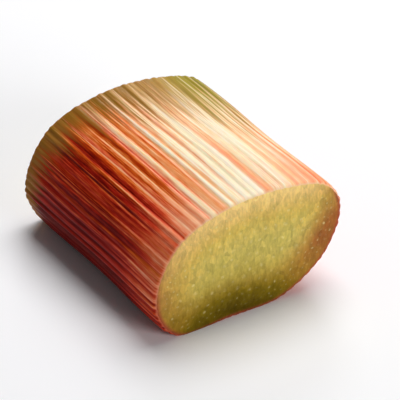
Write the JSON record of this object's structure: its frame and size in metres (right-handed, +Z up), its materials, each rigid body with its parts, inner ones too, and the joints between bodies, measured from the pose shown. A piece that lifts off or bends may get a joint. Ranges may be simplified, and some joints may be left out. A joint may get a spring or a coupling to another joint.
{
  "type": "rhubarb stalk",
  "caption": "Cut length of ribbed rhubarb stalk with red-striped skin and two cut ends of yellow-green flesh, lying on its flatter side.",
  "frame": {"origin": "on the surface the piece lies on, under the middle of its footprint's box", "axes": "+Z up, Y along the stalk with the viewed cut end at -Y, +X towards the side that slants in underneath"},
  "size_m": [0.0336, 0.0386, 0.0208],
  "materials": {
    "rhubarb_skin": "moist, satin skin in red and cream stripes; the cut ends show yellow-green flesh"
  },
  "bodies": {
    "root": {"rhubarb_stalk": "rhubarb_skin"}
  },
  "joints": []
}
